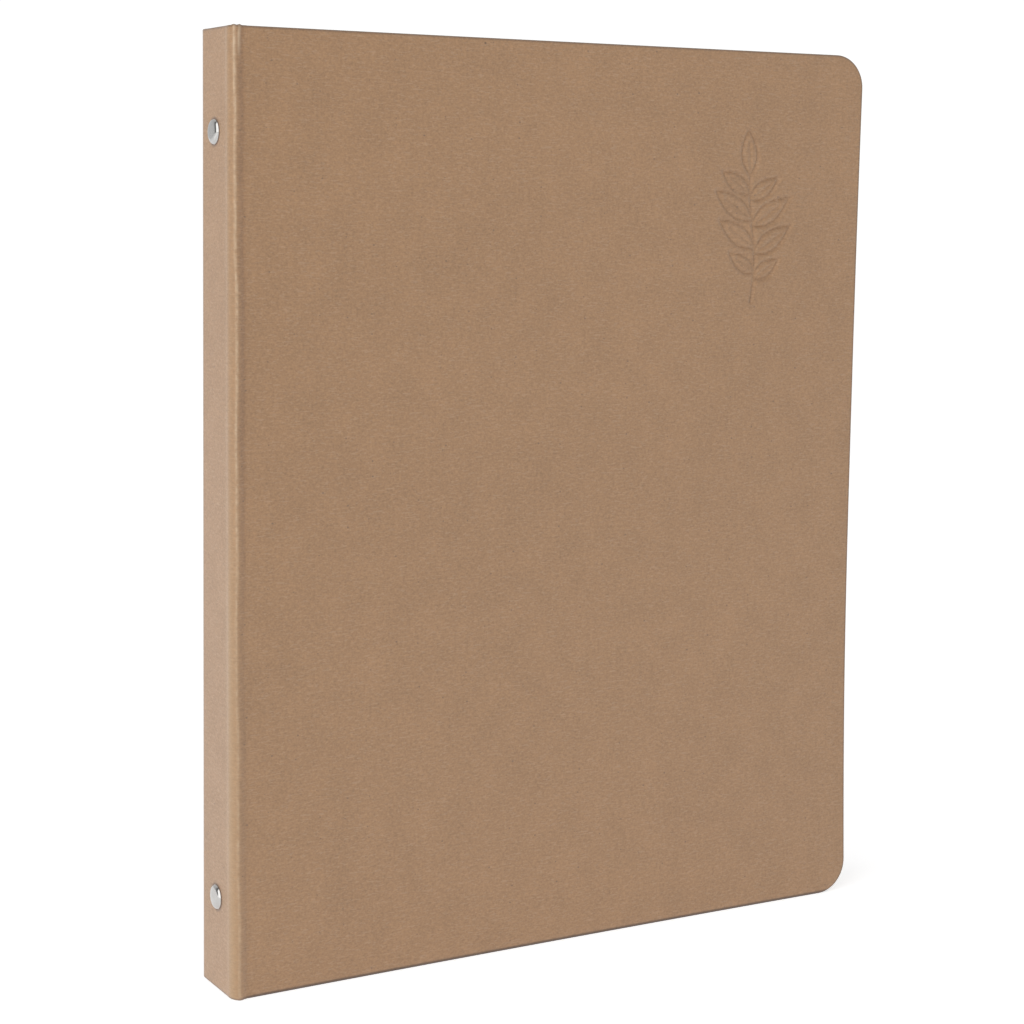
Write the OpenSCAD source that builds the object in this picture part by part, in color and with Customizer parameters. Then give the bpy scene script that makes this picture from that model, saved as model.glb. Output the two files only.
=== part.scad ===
// Ring-bound scrapbook album, closed and standing on its bottom edge.
// Z is up, the spine is at -X, the front cover faces -Y and the back cover faces +Y.
// The origin is under the middle of the closed album.

/* [Covers] */
// Height of the covers and the spine
cover_h = 315; // [308:1:330]
// Reach of the covers, from the outside of the spine to the fore edge
cover_w = 250; // [245:1:270]
// Depth of the closed album, over both covers
album_d = 28; // [26.5:0.5:34]
// Thickness of the cover board
board_t = 1.6; // [1.2:0.1:1.8]
// Outer radius of the long fold on each side of the spine
fold_r = 4; // [3:0.5:4.5]
// Radius of the rounded fore-edge corners
corner_r = 12; // [4:1:20]

/* [Leaves] */
// Number of leaves, half of which turn with each cover
leaf_count = 10; // [2:2:10]
// Width of a leaf, from its bound edge to its fore edge
leaf_w = 225; // [200:1:228]
// Height of a leaf
leaf_h = 300; // [290:1:304]
// Thickness of a leaf
leaf_t = 0.4; // [0.2:0.1:0.5]
// Distance from one leaf to the next
leaf_pitch = 0.7; // [0.65:0.05:0.75]
// Diameter of the punched holes
hole_d = 6.5; // [6.3:0.1:7]
// Distance from the bound edge to the middle of a hole
hole_margin = 7.5; // [7.2:0.1:8]

/* [Rings] */
// Distance from one ring to the next
ring_pitch = 80; // [76:0.5:80]
// Radius of a ring, to the middle of its wire
ring_r = 7.1; // [7:0.05:7.2]
// Diameter of the ring wire
wire_d = 2.2; // [1.8:0.1:2.3]
// Height of the middle of a ring over the inside of the spine
ring_rise = 10.5; // [10.3:0.1:10.8]
// Angle from a ring's tip to the start of its straight leg
ring_sweep = 105; // [103:1:106]

/* [Mechanism] */
// How far the mechanism sits below the middle of the spine
mech_drop = 1; // [0:0.5:2]
// Distance between the two rivets
rivet_spacing = 251; // [250.5:0.5:252]
// Diameter of the domed rivet heads
head_d = 8.2; // [7:0.1:9]
// Height of the domed rivet heads
head_h = 1.2; // [0.8:0.1:1.6]
// Diameter of the rivet shanks
shank_d = 3.5; // [3:0.1:3.8]
// Length of the arched shield
shield_l = 270; // [269:0.5:271]
// Width of the arched shield
shield_w = 18; // [17.8:0.1:18.2]
// Height of the crown of the shield over the inside of the spine
shield_rise = 5; // [4.9:0.05:5.1]
// Radius of the outside of the arch
arch_r = 18; // [17.5:0.1:19]
// Thickness of the shield's sheet steel
shield_t = 0.6; // [0.5:0.05:0.6]
// Thickness of the two rails under the shield
rail_t = 0.8; // [0.7:0.05:0.9]
// Length of a rail
rail_l = 261; // [260:0.5:261]
// Diameter of the pins that the end levers turn on
pin_d = 1.4; // [1.2:0.1:1.4]
// Length of the thumb tab on an end lever, from its pin
tab_l = 14; // [12:0.5:14]

/* [Hidden] */
spine_x = -(cover_w - head_h) / 2;
inner_x = spine_x + board_t;
mech_z = cover_h / 2 - mech_drop;
ring_x = inner_x + ring_rise;
ring_zs = [for (k = [-1.5 : 1 : 1.5]) k * ring_pitch];
ring_gap = 0.05;
lip_rise = 0.3;
lip_t = 0.5;
lip_w = 1.6;
rail_rise = 1.4;
rail_gap = 0.1;
rail_w = 8;
leg_d = wire_d + 0.04;
leg_y = 5.15;
tenon_d = 1.6;
clinch_d = 2.6;
clinch_t = 0.4;
slot_y = [4.2, 7.5];
slot_l = 3;
post_d = 6;
post_clearance = 0.4;
rivet_zs = [-rivet_spacing / 2, rivet_spacing / 2];
lever_z = 133;
pin_rise = 1.7;
pin_clearance = 0.05;
barrel_d = 3;
barrel_l = 10;
tab_w = 9;
tab_t = 1;
tab_tilt = 14;
tongue_l = 4.1;
tongue_w = 3;
tongue_t = 0.6;
tongue_drop = 1.2;
bound_gap = 0.3;
slack = 1;
front = -1;
back = 1;
upper = 1;
lower = -1;

function two_digits(n) = n < 10 ? str("0", n) : str(n);
function leaf_name(n) = str("leaf_", two_digits(n));
function ring_name(side, k) = str(side == front ? "front" : "back", "_half_ring_", k + 1);

ring_ids = [0 : len(ring_zs) - 1];
leaf_ids = [1 : leaf_count];

// Turns work drawn for the back half (+Y) into the front half where side is front.
module on_side(side) {
    mirror([0, side == front ? 1 : 0, 0]) children();
}

// The mechanism's own frame: X is the height over the inside of the spine, and Z = 0 is mid-length.
module at_mechanism() {
    translate([inner_x, 0, mech_z]) children();
}

// The same for one end: work drawn for the upper end is turned over for the lower one.
module at_end(end) {
    at_mechanism() mirror([0, 0, end == lower ? 1 : 0]) children();
}

// Cylinder along X from the height x0 to the height x1.
module across_spine(d, x0, x1) {
    translate([x0, 0, 0]) rotate([0, 90, 0]) cylinder(d = d, h = x1 - x0, $fn = 64);
}

// Round bar that the arch of the shield is part of.
module arch_bar(r) {
    translate([shield_rise - arch_r, 0, 0]) cylinder(r = r, h = 2 * shield_l, center = true, $fn = 180);
}

// Covers and spine: one board, folded twice

module spine_board() {
    strip_w = album_d - 2 * fold_r;
    color("tan") difference() {
        translate([spine_x, -strip_w / 2, 0]) cube([board_t, strip_w, cover_h]);
        for (z = rivet_zs) {
            at_mechanism() translate([0, 0, z]) across_spine(shank_d, -board_t - slack, slack);
        }
    }
}

module crease(side) {
    color("burlywood") on_side(side)
        translate([spine_x + fold_r, album_d / 2 - fold_r, 0]) rotate([0, 0, 90])
            rotate_extrude(angle = 90, $fn = 96)
                translate([fold_r - board_t, 0]) square([board_t, cover_h]);
}

module cover_outline() {
    w = cover_w - fold_r;
    square([w - corner_r, cover_h]);
    translate([0, corner_r]) square([w, cover_h - 2 * corner_r]);
    for (z = [corner_r, cover_h - corner_r]) {
        translate([w - corner_r, z]) circle(r = corner_r, $fn = 96);
    }
}

module cover_board(side) {
    color("peru") on_side(side)
        translate([spine_x + fold_r, album_d / 2, 0]) rotate([90, 0, 0])
            linear_extrude(board_t) cover_outline();
}

// Ring mechanism: fixed parts

module shield_section() {
    inside_w = shield_w - 2 * shield_t;
    difference() {
        intersection() {
            translate([shield_rise - arch_r, 0]) circle(r = arch_r, $fn = 180);
            translate([lip_rise, -shield_w / 2]) square([shield_rise, shield_w]);
        }
        intersection() {
            translate([shield_rise - arch_r, 0]) circle(r = arch_r - shield_t, $fn = 180);
            translate([lip_rise - slack, -inside_w / 2]) square([shield_rise + slack, inside_w]);
        }
    }
    for (y = [-shield_w / 2, shield_w / 2 - lip_w]) {
        translate([lip_rise, y]) square([lip_t, lip_w]);
    }
}

module ring_shield() {
    color("silver") at_mechanism() difference() {
        linear_extrude(shield_l, center = true) shield_section();
        for (z = ring_zs, side = [front, back]) {
            translate([shield_rise / 2, 0, z]) on_side(side)
                translate([0, slot_y[0], -slot_l / 2]) cube([shield_rise, slot_y[1] - slot_y[0], slot_l]);
        }
        for (z = rivet_zs) {
            translate([0, 0, z]) across_spine(shank_d, 0, shield_rise + slack);
        }
        for (z = [-lever_z, lever_z]) {
            translate([pin_rise, 0, z]) pin_bar(pin_d, shield_w + 2 * slack);
        }
    }
}

module pin_bar(d, l) {
    rotate([90, 0, 0]) cylinder(d = d, h = l, center = true, $fn = 48);
}

module lever_pin(end) {
    color("gray") at_end(end) translate([pin_rise, 0, lever_z]) pin_bar(pin_d, shield_w);
}

// Tubular post that holds the shield off the board.
module post(end) {
    color("lightgray") at_end(end) intersection() {
        translate([0, 0, rivet_zs[1]]) difference() {
            across_spine(post_d, 0, shield_rise);
            across_spine(shank_d, -slack, shield_rise + slack);
        }
        arch_bar(arch_r - shield_t);
    }
}

// Domed head outside the spine, shank through the post, and a clinched ring over the shield.
module rivet(end) {
    dome_r = (head_d * head_d / 4 + head_h * head_h) / (2 * head_h);
    clinch_top = shield_rise + 0.6;
    color("gainsboro") at_end(end) {
        translate([0, 0, rivet_zs[1]]) {
            intersection() {
                translate([dome_r - board_t - head_h, 0, 0]) sphere(r = dome_r, $fn = 128);
                across_spine(2 * head_d, -board_t - 2 * head_h, -board_t);
            }
            across_spine(shank_d, -board_t - head_h / 4, clinch_top - 0.2);
        }
        difference() {
            translate([0, 0, rivet_zs[1]]) across_spine(shank_d + 2, shield_rise / 2, clinch_top);
            arch_bar(arch_r);
        }
    }
}

// Ring mechanism: moving parts

module rail(side) {
    color("darkgray") at_mechanism() on_side(side) difference() {
        translate([rail_rise, rail_gap, -rail_l / 2]) cube([rail_t, rail_w, rail_l]);
        for (z = rivet_zs) {
            translate([0, 0, z]) across_spine(post_d + 2 * post_clearance, 0, shield_rise);
        }
        for (z = ring_zs) {
            translate([0, leg_y, z]) across_spine(tenon_d, 0, shield_rise);
        }
    }
}

// Half a ring: a bent arc, a straight leg down to the rail, and a tenon clinched under the rail.
// The leg is a hair thicker than the arc, so that the two meet on a step.
module half_ring(side, z) {
    tip = asin(ring_gap / ring_r);
    rail_top = rail_rise + rail_t;
    color("gainsboro") at_mechanism() translate([0, 0, z]) on_side(side) {
        difference() {
            translate([ring_rise, 0, 0]) {
                rotate([0, 0, tip]) rotate_extrude(angle = ring_sweep - tip, $fn = 96)
                    translate([ring_r, 0]) circle(d = wire_d, $fn = 48);
                rotate([0, 0, ring_sweep]) translate([ring_r, 0, 0]) rotate([-90, 0, 0])
                    cylinder(d = leg_d, h = ring_rise, $fn = 48);
            }
            translate([rail_top - 2 * ring_rise, 0, -wire_d]) cube([2 * ring_rise, 2 * ring_r, 2 * wire_d]);
        }
        translate([0, leg_y, 0]) {
            across_spine(tenon_d, rail_rise - clinch_t / 2, rail_top + 0.2);
            across_spine(clinch_d, rail_rise - clinch_t, rail_rise);
        }
    }
}

// End lever: a barrel on its pin, a thumb tab outwards and a tongue that lifts the rails.
module end_lever(end) {
    color("silver") at_end(end) translate([pin_rise, 0, lever_z]) difference() {
        union() {
            pin_bar(barrel_d, barrel_l);
            translate([-tongue_drop, -tongue_w / 2, -tongue_l]) cube([tongue_t, tongue_w, tongue_l]);
            rotate([0, tab_tilt, 0]) translate([0.2, 0, 0.9]) rotate([0, 90, 0])
                linear_extrude(tab_t) tab_outline();
        }
        pin_bar(pin_d + 2 * pin_clearance, 2 * barrel_l);
    }
}

module tab_outline() {
    straight_l = tab_l - tab_w / 2;
    translate([-straight_l, -tab_w / 2]) square([straight_l, tab_w]);
    translate([-straight_l, 0]) circle(d = tab_w, $fn = 64);
}

// Leaves

module leaf(n) {
    y = (n - (leaf_count + 1) / 2) * leaf_pitch;
    bound_x = ring_x + bound_gap;
    color("wheat") difference() {
        translate([bound_x, y - leaf_t / 2, mech_z - leaf_h / 2]) cube([leaf_w, leaf_t, leaf_h]);
        for (z = ring_zs) {
            translate([bound_x + hole_margin, y, mech_z + z]) pin_bar(hole_d, 4 * leaf_t);
        }
    }
}

spine_board();
crease(front);  // front_crease
crease(back);  // back_crease
cover_board(front);  // front_cover_board
cover_board(back);  // back_cover_board
ring_shield();
rivet(upper);  // upper_rivet
rivet(lower);  // lower_rivet
post(upper);  // upper_post
post(lower);  // lower_post
lever_pin(upper);  // upper_lever_pin
lever_pin(lower);  // lower_lever_pin
end_lever(upper);  // upper_lever
end_lever(lower);  // lower_lever
rail(front);  // front_rail
rail(back);  // back_rail
for (k = ring_ids) {
    half_ring(front, ring_zs[k]);
    half_ring(back, ring_zs[k]);
}
for (n = leaf_ids) {
    leaf(n);
}
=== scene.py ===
"""A ring-bound kraft scrapbook album: folded board covers, riveted ring mechanism and punched leaves."""

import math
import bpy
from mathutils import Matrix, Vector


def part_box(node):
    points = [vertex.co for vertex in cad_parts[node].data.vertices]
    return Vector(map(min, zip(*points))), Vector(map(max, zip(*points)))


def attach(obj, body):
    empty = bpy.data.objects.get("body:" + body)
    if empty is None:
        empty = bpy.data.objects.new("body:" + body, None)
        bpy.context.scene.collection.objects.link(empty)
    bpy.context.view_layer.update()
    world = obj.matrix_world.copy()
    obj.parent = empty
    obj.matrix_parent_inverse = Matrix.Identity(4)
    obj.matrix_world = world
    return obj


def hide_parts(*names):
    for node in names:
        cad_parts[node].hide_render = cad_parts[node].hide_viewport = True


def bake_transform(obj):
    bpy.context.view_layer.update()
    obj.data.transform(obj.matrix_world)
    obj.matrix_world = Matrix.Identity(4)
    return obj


bl_info = {
    "name": "Scrapbook Album",
    "version": (1, 0, 0),
    "blender": (4, 5, 0),
    "location": "3D View > Sidebar > Album",
    "description": "Builds a ring-bound kraft scrapbook album around its packed frame",
    "category": "Add Mesh",
}

import bpy
import numpy as np
from bpy.props import FloatProperty, FloatVectorProperty, IntProperty, PointerProperty
from mathutils import Matrix, Vector

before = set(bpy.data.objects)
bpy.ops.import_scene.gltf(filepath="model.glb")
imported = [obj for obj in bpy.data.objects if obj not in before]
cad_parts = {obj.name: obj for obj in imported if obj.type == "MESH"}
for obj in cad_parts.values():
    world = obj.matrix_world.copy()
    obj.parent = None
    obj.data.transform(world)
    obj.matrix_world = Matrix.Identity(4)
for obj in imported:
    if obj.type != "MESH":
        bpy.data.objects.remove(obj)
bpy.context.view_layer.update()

MM = 0.001
FRONT = -1
BACK = 1
SHARP_ANGLE = math.radians(50)

# Places taken from the frame, in metres.
SPINE_LOW, SPINE_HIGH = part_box("spine_board")
COVER_LOW, COVER_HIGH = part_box("front_cover_board")
SPINE_X = SPINE_LOW.x
BOARD_T = SPINE_HIGH.x - SPINE_LOW.x
SPINE_HALF = SPINE_HIGH.y
SPINE_W = 2 * SPINE_HALF
SHEET_H = SPINE_HIGH.z
FOLD_X = COVER_LOW.x
FOLD_R = COVER_LOW.x - SPINE_LOW.x
FOLD_LENGTH = FOLD_R * math.pi / 2
COVER_W = COVER_HIGH.x - SPINE_X

# The flat map of the sheets: where the spine's back edge lies, and the gap between outer and inner faces.
SHEET_MAP = "sheet"
SHEET_ORIGIN = 0.3
MAP_GAP = 0.05

# Heights between which the fold line shifts, its rubbing grows, its head splits and its head frays.
FOLD_SHIFT = (0.10, 0.19)
HEAD_RUB = (0.27, 0.315)
HEAD_SPLIT = (0.303, 0.311)
HEAD_FRAY = (0.311, SHEET_H)
HEAD_PUCKER = (0.3105, 0.315)
# How far past the fold line the split at the head runs.
SPLIT_OFFSET = 1.25 * MM

# Where the sprig lies across and up the front cover, and the one dark fleck beside the head.
SPRIG_ACROSS = (0.1805, 0.2255)
SPRIG_UP = (0.223, 0.2895)
FLECK = (0.0912, 0.3132)
# The grid is finer from a little before the fold to a little after it, and close to the head.
BEFORE_FOLD = 7 * MM
AFTER_FOLD = 6 * MM
HEAD_ROWS = 0.305

# The two softboxes: place and side.
KEY_SOFTBOX = ((-1.7, -0.85, 0.95), 1.3)
SIDE_SOFTBOX = ((-1.5, 0.6, 0.35), 1.0)
# Where the room is brightest, and the strength of the plain backdrop.
ROOM_FRONT = (-0.35, -0.9, 0.2)
BACKDROP = 1.05
# What bright metal mirrors: degrees round from +Y towards -X, and how light the room is there.
ROOM_PANELS = (
    (-170, 0.5), (-120, 0.5), (-60, 0.65), (-20, 0.65), (5, 0.38), (40, 0.38),
    (62, 0.1), (84, 0.1), (92, 0.95), (165, 1.0), (176, 0.5),
)

RIVETS = ("upper_rivet", "lower_rivet")
LEAVES = sorted(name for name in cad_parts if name.startswith("leaf_"))
HALF_RINGS = sorted(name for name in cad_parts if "half_ring" in name)
STEEL_PARTS = ("ring_shield", "front_rail", "back_rail", "upper_lever", "lower_lever",
               "upper_lever_pin", "lower_lever_pin", "upper_post", "lower_post")


# Sizes and colours ------------------------


def number(name, description, default, **options):
    """A number in the panel."""
    return FloatProperty(name=name, description=description, default=default, **options)


def length(name, description, default, **options):
    """A length in the panel, in metres."""
    return number(name, description, default, unit="LENGTH", **options)


def degrees(name, description, default):
    """An angle in the panel, given in degrees."""
    return number(name, description, math.radians(default), subtype="ANGLE")


def paint(name, description, default):
    """A colour in the panel."""
    return FloatVectorProperty(
        name=name, description=description, subtype="COLOR", default=default, min=0, max=1)


class AlbumBoardSettings(bpy.types.PropertyGroup):
    """Sizes and colours of the folded board covers"""

    corner_radius: length("Corner Radius", "Radius of the outer corners of a cover", 12 * MM, min=1 * MM)
    edge_round: length("Edge Rounding", "Radius worn on to the board's cut edges", 0.3 * MM, min=0.05 * MM)
    front_flare: length("Front Flare", "How far the front cover's outer corners stand out", 2.83 * MM)
    front_hollow: length("Front Hollow", "How much the front cover bows in across its width", 1.86 * MM)
    back_flare: length("Back Flare", "How far the back cover's outer corners stand out", 2.0 * MM)
    back_hollow: length("Back Hollow", "How much the back cover bows in across its width", 1.2 * MM)
    head_pinch: length("Head Pinch", "How much narrower the spine stands at its head", 1.6 * MM)
    foot_spread: length("Foot Spread", "How much wider the spine stands at its foot", 0.7 * MM)
    front_square: length("Front Fold Squareness", "How far the front fold stands out of its round", 0.85 * MM)
    back_square: length("Back Fold Squareness", "How far the back fold stands out of its round", 0.1 * MM)
    ridge_height: length("Fold Ridge", "Height of the pinched ridge along a fold", 0.42 * MM)
    valley_depth: length("Fold Valley", "Depth of the scored valley beside the ridge", 0.16 * MM)
    press_depth: length("Press Depth", "Depth of the leaf sprig pressed into the cover", 0.8 * MM)
    board_colour: paint("Board", "Colour of the kraft board", (0.313, 0.169, 0.073))
    fibre_colour: paint("Light Fibres", "Colour of the bleached fibres in the pulp", (0.47, 0.33, 0.22))
    speck_colour: paint("Dark Specks", "Colour of the bark specks in the pulp", (0.12, 0.07, 0.042))
    strained_colour: paint("Strained Fold", "Colour of the stretched board before a fold", (0.43, 0.285, 0.15))
    scuffed_colour: paint("Scuffed Fold", "Colour of the greyed board along the back fold", (0.30, 0.26, 0.23))
    edge_colour: paint("Cut Edge", "Colour of the grey core at the cut edges", (0.26, 0.195, 0.145))
    # The worn fold colour is rubbed fibres made lighter still as painted highlight on the fold's ridge.
    worn_highlight_colour: paint("Worn Fold", "Colour of the rubbed fibres along a fold", (0.56, 0.41, 0.27))


class AlbumLeafSettings(bpy.types.PropertyGroup):
    """Colour and scores of the leaves"""

    leaf_colour: paint("Leaf", "Colour of the kraft leaves", (0.37, 0.235, 0.14))
    score_inset: length("Score Inset", "Distance of the first hinge score from the bound edge", 16 * MM)
    score_gap: length("Score Gap", "Distance between a leaf's two hinge scores", 3 * MM)


class AlbumMetalSettings(bpy.types.PropertyGroup):
    """Sizes and colours of the rivets, rings and mechanism"""

    nickel_colour: paint("Nickel", "Colour of the nickel plating", (0.53, 0.52, 0.505))
    steel_colour: paint("Plated Steel", "Colour of the plated steel plates", (0.63, 0.63, 0.62))
    rivet_segments: IntProperty(
        name="Rivet Segments", description="Sides round a rivet head", default=96, min=24)
    head_height: length("Head Height", "How far a rivet head stands off the spine", 1.2 * MM)
    head_roll: length("Head Roll", "Radius of the rolled rim of a rivet head", 0.3 * MM)


class AlbumStageSettings(bpy.types.PropertyGroup):
    """Floor, light and camera"""

    floor_size: length("Floor Size", "Side of the square floor", 12.0)
    floor_colour: paint("Floor", "Colour of the floor", (0.82, 0.82, 0.82))
    floor_glow: number("Floor Glow", "Light that the lit table gives off", 0.62)
    sky_strength: number("Room Light", "Strength of the light from all round", 0.475)
    panel_strength: number("Panel Light", "Strength of the panels that bright metal mirrors", 2.0)
    key_power: number("Key Power", "Power of the softbox to the left", 11.0, subtype="POWER")
    rim_power: number("Side Power", "Power of the softbox behind the spine", 5.2, subtype="POWER")
    camera_place: FloatVectorProperty(
        name="Camera Place", description="Where the camera stands", subtype="TRANSLATION",
        default=(-0.39443, -0.65495, 0.26246))
    camera_yaw: degrees("Yaw", "Turn of the camera from looking along Y", 30.195)
    camera_pitch: degrees("Pitch", "How far the camera looks down", 5.345)
    camera_roll: degrees("Roll", "Turn of the camera about its own axis", -0.556)
    camera_lens: number("Lens", "Focal length in millimetres", 76.65, unit="CAMERA")
    camera_shift: number("Vertical Shift", "Shift of the lens, as a share of the frame", -0.109375)


# Mesh helpers ------------------------


def make_piece(name, points, faces):
    """A smooth object from an array of points and a list of face arrays with three or four columns."""
    corners = np.concatenate([f.ravel() for f in faces])
    sizes = np.concatenate([np.full(len(f), f.shape[1]) for f in faces])
    starts = np.cumsum(sizes) - sizes
    mesh = bpy.data.meshes.new(name)
    mesh.vertices.add(len(points))
    mesh.vertices.foreach_set("co", points.astype(np.float32).ravel())
    mesh.loops.add(len(corners))
    mesh.loops.foreach_set("vertex_index", corners.astype(np.int32))
    mesh.polygons.add(len(sizes))
    mesh.polygons.foreach_set("loop_start", starts.astype(np.int32))
    mesh.update(calc_edges=True)
    mesh.validate()
    mesh.shade_smooth()
    mesh.set_sharp_from_angle(angle=SHARP_ANGLE)
    piece = bpy.data.objects.new(name, mesh)
    bpy.context.scene.collection.objects.link(piece)
    return piece


def add_values(piece, name, values):
    """Stores one number per point of the mesh as an attribute that a material can read."""
    attribute = piece.data.attributes.new(name, "FLOAT", "POINT")
    attribute.data.foreach_set("value", values.astype(np.float32))


def stations(*stretches):
    """Places along a line. Each stretch is (start, end, cells), and starts where the last one ended."""
    parts = [np.linspace(start, end, cells, endpoint=False) for start, end, cells in stretches]
    return np.append(np.concatenate(parts), stretches[-1][1])


def bell(distance, width):
    """A smooth bump of height 1: e to the power of minus (distance / width) squared."""
    return np.exp(-((distance / width) ** 2))


def ease(value, start, end):
    """0 before start, 1 after end, and 3t^2 - 2t^3 between them."""
    t = np.clip((value - start) / (end - start), 0, 1)
    return t * t * (3 - 2 * t)


def lathe(profile, segments):
    """Points and faces of a closed turned solid about its own axis.

    Each profile row is (height, radius), from the first pole to the last, both on the axis. A point of ring k
    at angle a is (height_k, radius_k cos a, radius_k sin a), and each pole is one point.
    """
    angle = np.arange(segments) * 2 * np.pi / segments
    rings = profile[1:-1]
    height = np.repeat(rings[:, :1], segments, axis=1)
    ring_points = np.stack([height, rings[:, 1:] * np.cos(angle), rings[:, 1:] * np.sin(angle)], axis=-1)
    poles = np.array([[profile[0, 0], 0, 0], [profile[-1, 0], 0, 0]])
    points = np.concatenate([ring_points.reshape(-1, 3), poles])
    index = np.arange(len(rings) * segments).reshape(len(rings), segments)
    after = np.roll(index, -1, axis=1)
    walls = np.stack([index[:-1], index[1:], after[1:], after[:-1]], axis=-1).reshape(-1, 4)
    first = np.full(segments, len(points) - 2)
    last = np.full(segments, len(points) - 1)
    start_cap = np.stack([first, index[0], after[0]], axis=-1)
    end_cap = np.stack([index[-1], last, after[-1]], axis=-1)
    return points, [walls, start_cap, end_cap]


# The folded sheet ------------------------


def folded_points(s, z, reach, side, lead):
    """Points of the folded sheet.

    The outer line runs flat across the spine for the length lead, turns through a quarter circle of the fold
    radius and runs on flat to the fore edge. A point is the line at length s, moved outwards by reach along
    the line's normal (-cos a, side sin a), where a is the angle turned so far, at height z.
    """
    angle = np.clip((s - lead) / FOLD_R, 0, np.pi / 2)
    on_spine = np.minimum(s - lead, 0)
    on_cover = np.maximum(s - lead - FOLD_LENGTH, 0)
    x = FOLD_X - FOLD_R * np.cos(angle) + on_cover - reach * np.cos(angle)
    y = side * (SPINE_HALF + FOLD_R * np.sin(angle) + on_spine + reach * np.sin(angle))
    return np.stack(np.broadcast_arrays(x, y, z), axis=-1)


def from_spine(s, lead):
    """How far across the cover, from the spine's outer face, the sheet has come at length s."""
    angle = np.clip((s - lead) / FOLD_R, 0, np.pi / 2)
    return FOLD_R * (1 - np.cos(angle)) + np.maximum(s - lead - FOLD_LENGTH, 0)


def sheet_length(across, lead):
    """The length along the sheet at a distance across the cover that is past the fold."""
    return lead + FOLD_LENGTH + across - FOLD_R


def dish(across, z, flare, hollow):
    """How far a cover bows outwards: flare (h^2 (1 - 0.15 h) + 0.3 e) u + hollow ((2u - 1)^2 - 1) / 2.

    Here u runs from 0 at the spine to 1 at the fore edge, h from -1 at the foot to 1 at the head, and e eases
    from 0 to 1 past the middle of the lower half.
    """
    u = np.clip(across / COVER_W, 0, 1)
    h = 2 * z / SHEET_H - 1
    twist = h * h * (1 - 0.15 * h) + 0.3 * ease(h, -0.6, 0.3)
    return flare * twist * u + hollow * ((2 * u - 1) ** 2 - 1) / 2


def pinch(points, head_pinch, foot_spread):
    """The sheet's points with the spine's back edge drawn in at the head and let out at the foot.

    Every point moves along Y by its share of the thickness from the front face, times an amount that runs
    evenly from the spread at the foot to the pinch at the head.
    """
    amount = (head_pinch + foot_spread) * points[:, 2] / SHEET_H - foot_spread
    share = (points[:, 1] - COVER_LOW.y) / (-2 * COVER_LOW.y)
    return points - np.stack([0 * share, share * amount, 0 * share], axis=-1)


def fold_line(z):
    """How far past the start of the fold its ridge runs: it wanders, and sits further round at the foot."""
    wander = 0.22 * np.sin(z * 33 + 1.1) + 0.13 * np.sin(z * 91 + 0.4) + 0.07 * np.sin(z * 217 + 2.0)
    lower = 1 - ease(z, *FOLD_SHIFT)
    return (3.95 + 0.35 * lower + wander) * MM


def fold_relief(s, z, lead, square, ridge, valley):
    """How far the pinched fold stands proud of the round: bells on the fold line, less one beside it.

    The widest bell is steeper past the fold line than before it, which squares the fold's corner.
    """
    place = s - lead - fold_line(z)
    upper = ease(z, *FOLD_SHIFT)
    squared = square * bell(place, np.where(place < 0, 2.9, 1.5) * MM)
    pinched = squared + 0.5 * ridge * bell(place, 0.7 * MM)
    score = valley * (0.35 + 0.65 * upper) * bell(place - 2.4 * MM, 0.9 * MM)
    ripple = np.sin(s * 5200) * np.sin(z * 4100)
    pucker = 0.22 * MM * ease(z, *HEAD_PUCKER) * bell(place - 0.9 * MM, 2.6 * MM) * ripple
    split = 0.18 * MM * ease(z, *HEAD_SPLIT) * bell(place - SPLIT_OFFSET, 0.42 * MM)
    return pinched - score + pucker + split


def frayed_head(s, z, lead):
    """How far the torn fibres at a fold's head stand up: a bell on the fold line, broken up by a wave."""
    place = s - lead - fold_line(z)
    tufts = 0.6 + 0.4 * np.sin(s * 3300)
    return 0.42 * MM * ease(z, *HEAD_FRAY) * bell(place - 0.6 * MM, 2.0 * MM) * tufts


def leaf_outline(across, up, base, angle, length, width):
    """Distance of each point from the outline and the midrib of a pointed leaf.

    With a along the leaf and b across it, the outline is |b| = width / 2 sin(pi (a / length)^0.85).
    """
    a = (across - base[0]) * np.cos(angle) + (up - base[1]) * np.sin(angle)
    b = np.abs(-(across - base[0]) * np.sin(angle) + (up - base[1]) * np.cos(angle))
    share = np.clip(a / length, 1e-4, 1 - 1e-4)
    beyond = a - np.clip(a, 0, length)
    half = width / 2 * np.sin(np.pi * share ** 0.85)
    slope = width / 2 * np.cos(np.pi * share ** 0.85) * np.pi * 0.85 * share ** -0.15 / length
    rim = np.hypot(np.abs(b - half) / np.sqrt(1 + slope * slope), beyond)
    rib_beyond = a - np.clip(a, 0, 0.72 * length)
    rib = np.hypot(b, rib_beyond)
    return rim, rib


def pressed_sprig(across, up):
    """How deep the sprig is pressed, from 0 to 1: a bowed stem, leaves in pairs and one at the tip.

    Each line is a bell across its distance field, and the deepest line wins.
    """
    middle = 0.2025
    foot, tip = 0.2250, 0.2710
    stem_bow = 1.4 * MM
    line = 0.62 * MM

    def stem_at(height):
        return middle + stem_bow * np.sin((height - foot) / (tip - foot) * np.pi * 1.6)

    def leaf_lines(base, angle, length, width):
        rim, rib = leaf_outline(across, up, base, angle, length, width)
        return np.maximum(bell(rim, line), 0.55 * bell(rib, 0.8 * line))

    stem_beyond = up - np.clip(up, foot, tip)
    depth = bell(np.hypot(across - stem_at(np.clip(up, foot, tip)), stem_beyond), line)
    pairs = ((0.2335, 13.0, 5.4), (0.2425, 18.5, 6.8), (0.2525, 19.0, 7.0), (0.2620, 14.5, 5.8))
    for height, length, width in pairs:
        for turn, rise in ((math.radians(33), 0.0), (math.radians(147), 2.2 * MM)):
            base = (stem_at(height + rise), height + rise)
            depth = np.maximum(depth, leaf_lines(base, turn, length * MM, width * MM))
    return np.maximum(depth, leaf_lines((stem_at(tip), tip), math.radians(94), 16 * MM, 6.6 * MM))


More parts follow.
